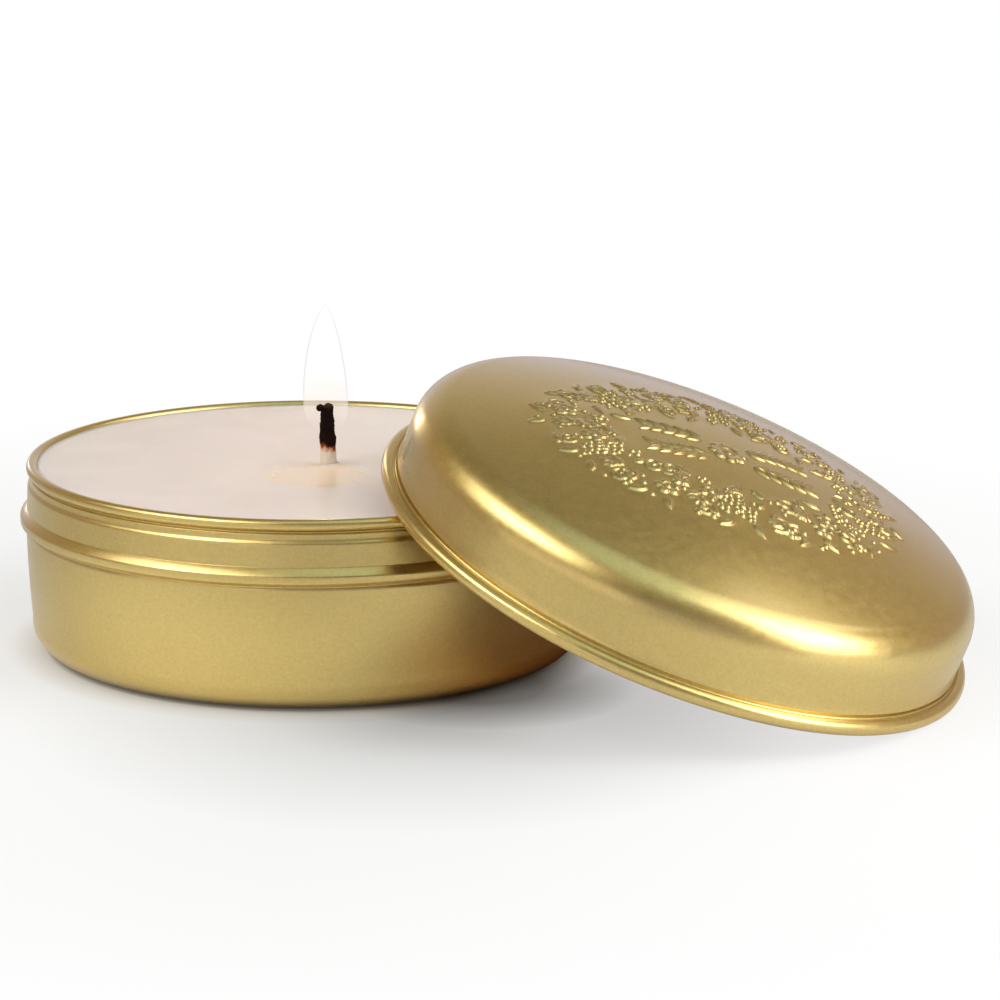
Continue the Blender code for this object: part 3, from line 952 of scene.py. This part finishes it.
def reflected_floor(tree):
    """The floor's colour as the metal reflects it, all painted light and shade: paler near the can's front, a
    painted golden bounce from the gold under the lid, and a painted shadow under the can's edge."""
    # Painted light: the floor is paler near the can's front.
    near = range_node(tree, distance_node(tree, (-12.0, -14.0)), 1.0, 0.0, 0.045, 0.082)
    grey = mix_colour(tree, near, (0.61, 0.61, 0.61, 1.0), (0.86, 0.86, 0.84, 1.0))
    # Painted reflection: a warm patch standing in for light bounced off the gold under the lid.
    gold_bounce = range_node(tree, distance_node(tree, (50.0, -22.0)), 1.0, 0.0, 0.016, 0.046)
    colour = mix_colour(tree, gold_bounce, grey, (0.74, 0.35, 0.05, 1.0))
    # Painted shadow: black under the can's edge.
    foot = range_node(tree, distance_node(tree, CAN_AXIS), 0.10, 1.0, 0.0362, 0.0393)
    return mix_colour(tree, foot, (0.0, 0.0, 0.0, 1.0), colour)


def floor_light(tree):
    """How strongly the floor shines at the metal from two bright patches, in front of the can and the lid."""
    right = range_node(tree, distance_node(tree, (115.0, -105.0)), 0.35, 0.0, 0.02, 0.12)
    left = range_node(tree, distance_node(tree, (-75.0, -60.0)), 0.16, 0.0, 0.02, 0.10)
    return math_node(tree, "ADD", right, left)


def floor():
    """A white table. To the camera it glows with painted light, dimmer where the can shades it with a painted
    shadow, and plain white far away.
    """
    bpy.ops.mesh.primitive_plane_add(size=6.0, location=(0.0, 0.0, -0.05 * MM))
    plane = bpy.context.object
    plane.name = "floor"
    material, tree, shader = new_material("pale_floor")
    to_camera = tree.nodes.new("ShaderNodeLightPath").outputs["Is Camera Ray"]
    shadow = contact_shadow(tree)
    # Painted shadow: the floor colour that the camera sees is darkened by the painted contact shadow.
    pale = mix_colour(tree, 1.0, shadow, (0.74, 0.74, 0.74, 1.0), "MULTIPLY")
    tree.links.new(mix_colour(tree, to_camera, reflected_floor(tree), pale), shader.inputs["Base Color"])
    shader.inputs["Roughness"].default_value = 0.6
    shader.inputs["Specular IOR Level"].default_value = 0.2
    shader.inputs["Emission Color"].default_value = (1.0, 1.0, 1.0, 1.0)
    tree.links.new(floor_light(tree), shader.inputs["Emission Strength"])
    # Painted light: an emission that the camera sees, coloured by the painted shadow.
    white = tree.nodes.new("ShaderNodeEmission")
    tree.links.new(shadow, white.inputs["Color"])
    # Painted shade: the glow is dimmer near the tin and full white far away.
    away = range_node(tree, distance_node(tree, (14.0, -40.0)), 0.0, 1.0, 0.0, 0.20)
    glow = ramp_node(tree, away, grey_stops((0.01, 0.42), (0.10, 0.70), (0.26, 0.96), (0.60, 1.0)))
    tree.links.new(glow, white.inputs["Strength"])
    # Near the can, the camera sees more of the lit floor and less of the painted glow.
    share = range_node(tree, distance_node(tree, CAN_AXIS), 0.55, 1.0, 0.04, 0.16)
    contact = range_node(tree, distance_node(tree, CAN_AXIS), 0.35, 1.0, 0.0375, 0.0425)
    seen = math_node(tree, "MULTIPLY", math_node(tree, "MULTIPLY", share, contact), to_camera)
    output = tree.nodes["Material Output"]
    mix_shaders(tree, seen, shader.outputs["BSDF"], white.outputs["Emission"], output)
    plane.data.materials.append(material)


def direction(azimuth, elevation):
    """The direction at this azimuth from +Y towards +X and this elevation, both in degrees."""
    a, e = math.radians(azimuth), math.radians(elevation)
    return Vector((math.sin(a) * math.cos(e), math.cos(a) * math.cos(e), math.sin(e)))


def sky_stops(stops):
    """Colour stops from (height, brightness) pairs, pale at the horizon and warmer above it."""
    warm = []
    for height, value in stops:
        rise = min(height * 2, 1.0)
        warm.append((height, (value, value * (0.98 - 0.10 * rise), value * (1.25 - 0.60 * rise))))
    return warm


def studio_world():
    """White to the camera. To all else it is a dim studio with a pale horizon and a cool glow overhead."""
    world = bpy.data.worlds.new("studio")
    bpy.context.scene.world = world
    world.use_nodes = True
    tree = world.node_tree
    tree.nodes.clear()
    axes = axes_node(tree, "Generated")
    behind = [(0.0, 0.76), (0.17, 0.72), (0.34, 0.68), (0.50, 0.58), (0.64, 0.42), (0.77, 0.30), (1.0, 0.28)]
    in_front = [(0.0, 0.66), (0.15, 0.60), (0.34, 0.28), (0.60, 0.24), (0.77, 0.34), (1.0, 0.34)]
    ramps = [ramp_node(tree, axes["Z"], sky_stops(stops)) for stops in (behind, in_front)]
    forward = range_node(tree, axes["Y"], 1.0, 0.0, -0.35, 0.35)
    room = mix_colour(tree, forward, *ramps)
    sides = [(0.25, (1.0, 1.0, 1.0)), (0.62, (0.66, 0.56, 0.42))]
    aside = ramp_node(tree, math_node(tree, "ABSOLUTE", axes["X"]), sides)
    room = mix_colour(tree, 1.0, room, aside, "MULTIPLY")
    glow_centre = direction(128.0, 70.0)
    nearness = vector_node(tree, "DOT_PRODUCT", place_node(tree, "Generated"), glow_centre).outputs["Value"]
    glow = range_node(tree, nearness, 0.0, 1.0, 0.82, 0.97)
    room = mix_colour(tree, glow, room, (0.36, 0.58, 0.66, 1.0), "ADD")
    studio = add_node(tree, "ShaderNodeBackground", Strength=1.0)
    tree.links.new(room, studio.inputs["Color"])
    white = add_node(tree, "ShaderNodeBackground", Color=(1.0, 1.0, 1.0, 1.0), Strength=1.0)
    to_camera = tree.nodes.new("ShaderNodeLightPath").outputs["Is Camera Ray"]
    output = tree.nodes.new("ShaderNodeOutputWorld")
    mix_shaders(tree, to_camera, studio.outputs["Background"], white.outputs["Background"], output)


def softbox(name, azimuth, elevation, distance, width, height, radiance):
    """A rectangular light that faces the object. The distance and sizes are in metres. Cycles takes the power
    of such a light as four times its radiance times its area."""
    target = Vector((0.03, -0.01, 0.02))
    lamp = bpy.data.lights.new(name, "AREA")
    lamp.shape = "RECTANGLE"
    lamp.size, lamp.size_y = width, height
    lamp.energy = 4.0 * radiance * width * height
    holder = bpy.data.objects.new(name, lamp)
    toward = direction(azimuth, elevation)
    holder.location = target + toward * distance
    holder.rotation_euler = toward.to_track_quat("Z", "Y").to_euler()
    bpy.context.scene.collection.objects.link(holder)


def studio_lights():
    """A large softbox on each side, each brighter in its middle, a low reflector and a strip at the back."""
    softbox("left_softbox", -116.0, 46.0, 0.90, 0.94, 0.44, 1.6)
    softbox("left_softbox_middle", -119.0, 44.0, 0.88, 0.48, 0.26, 3.2)
    softbox("left_reflector", -134.0, 10.0, 0.70, 0.80, 0.24, 0.55)
    softbox("left_back_strip", -22.0, 6.0, 0.90, 0.06, 0.14, 3.0)
    softbox("right_softbox_top", 98.0, 49.0, 0.90, 1.00, 0.34, 1.4)
    softbox("right_softbox_bottom", 118.0, 18.0, 0.60, 0.34, 0.32, 3.0)
    softbox("right_softbox_middle", 109.0, 33.0, 0.88, 0.46, 0.42, 2.8)


def flame_lights():
    """The flame's own warm light: three small lamps, one above another."""
    for index, rise in enumerate((4.5, 7.5, 10.5)):
        lamp = bpy.data.lights.new(f"flame_light_{index}", "POINT")
        lamp.energy = 0.0006
        lamp.color = (1.0, 0.82, 0.60)
        lamp.shadow_soft_size = 1.8 * MM
        holder = bpy.data.objects.new(lamp.name, lamp)
        holder.location = Vector((WICK_AXIS.x - 0.6, WICK_AXIS.y, WICK_TOP + rise)) * MM
        bpy.context.scene.collection.objects.link(holder)


def camera():
    """The camera, a little above the table in front of the tin."""
    data = bpy.data.cameras.new("front_camera")
    data.sensor_width = 36.0
    data.lens = CAMERA_LENS
    data.shift_y = CAMERA_SHIFT_Y
    data.clip_start = 0.01
    holder = bpy.data.objects.new(data.name, data)
    turn = Matrix.Rotation(CAMERA_YAW, 4, "Z") @ Matrix.Rotation(CAMERA_PITCH, 4, "X")
    turn = turn @ Matrix.Rotation(CAMERA_ROLL, 4, "Y") @ Euler((math.pi / 2, 0.0, 0.0)).to_matrix().to_4x4()
    holder.matrix_world = Matrix.Translation(CAMERA_PLACE) @ turn
    bpy.context.scene.collection.objects.link(holder)
    bpy.context.scene.camera = holder


base_can()
wax_fill()
wick()
flame()
wick_holder()
hidden_discs()
lid_shell()
floor()
studio_world()
studio_lights()
flame_lights()
camera()
bpy.context.scene.view_settings.view_transform = "Standard"
